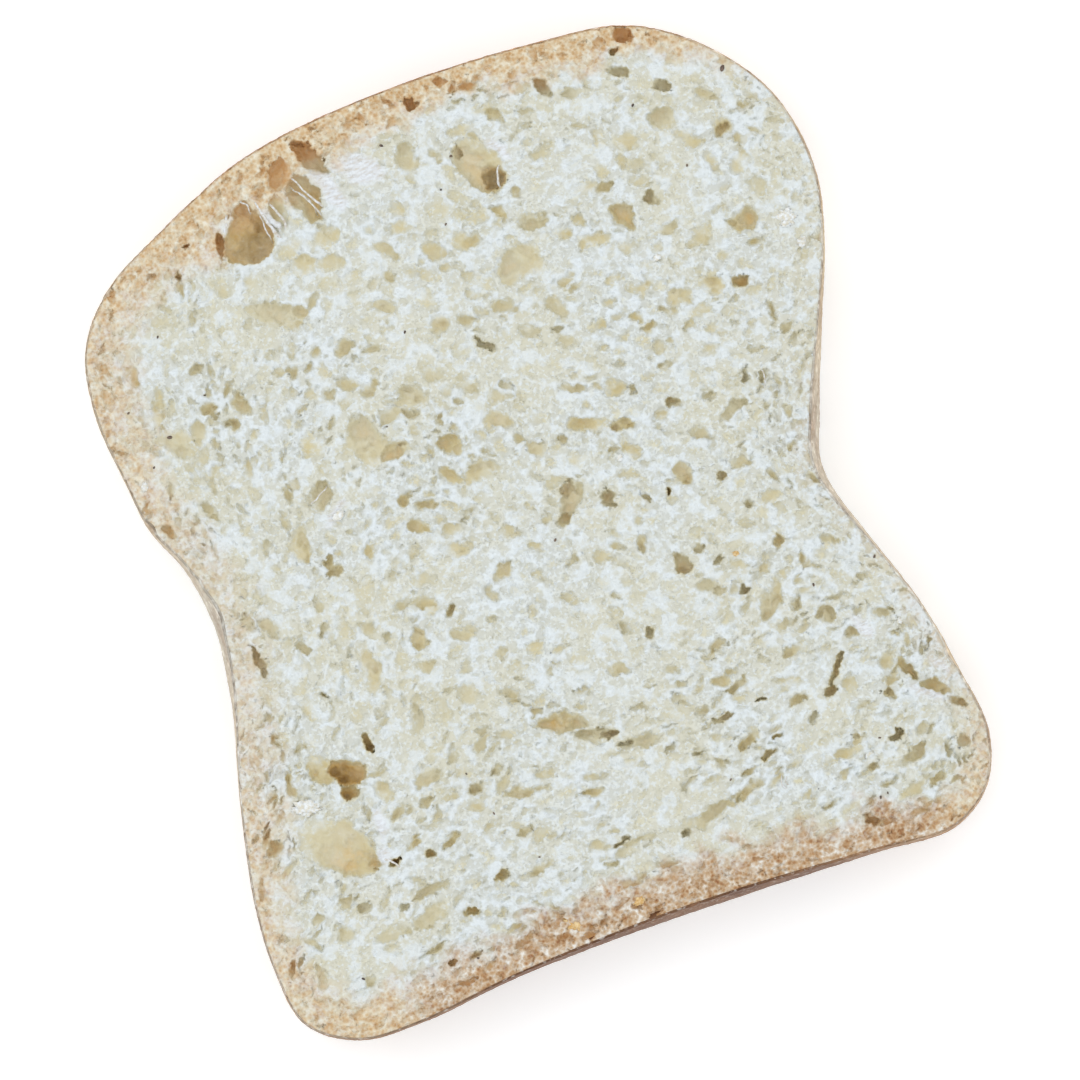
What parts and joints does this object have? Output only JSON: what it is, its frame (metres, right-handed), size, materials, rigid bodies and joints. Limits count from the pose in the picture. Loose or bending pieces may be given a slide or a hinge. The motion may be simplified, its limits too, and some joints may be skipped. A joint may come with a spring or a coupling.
{
  "type": "tin loaf slice",
  "caption": "Slice of a pale tin loaf with a domed crown, pinched waist, flat base, thin crust and an open crumb on both cut faces.",
  "frame": {"origin": "middle of the back cut face, on the surface the slice lies on", "axes": "+X across the slice, +Y from the base of the loaf to its crown, +Z out of the shown cut face"},
  "size_m": [0.105, 0.1216, 0.015],
  "materials": {
    "bread": "matte, porous crumb inside a thin browned crust"
  },
  "bodies": {
    "root": {"slice": "bread"}
  },
  "joints": []
}
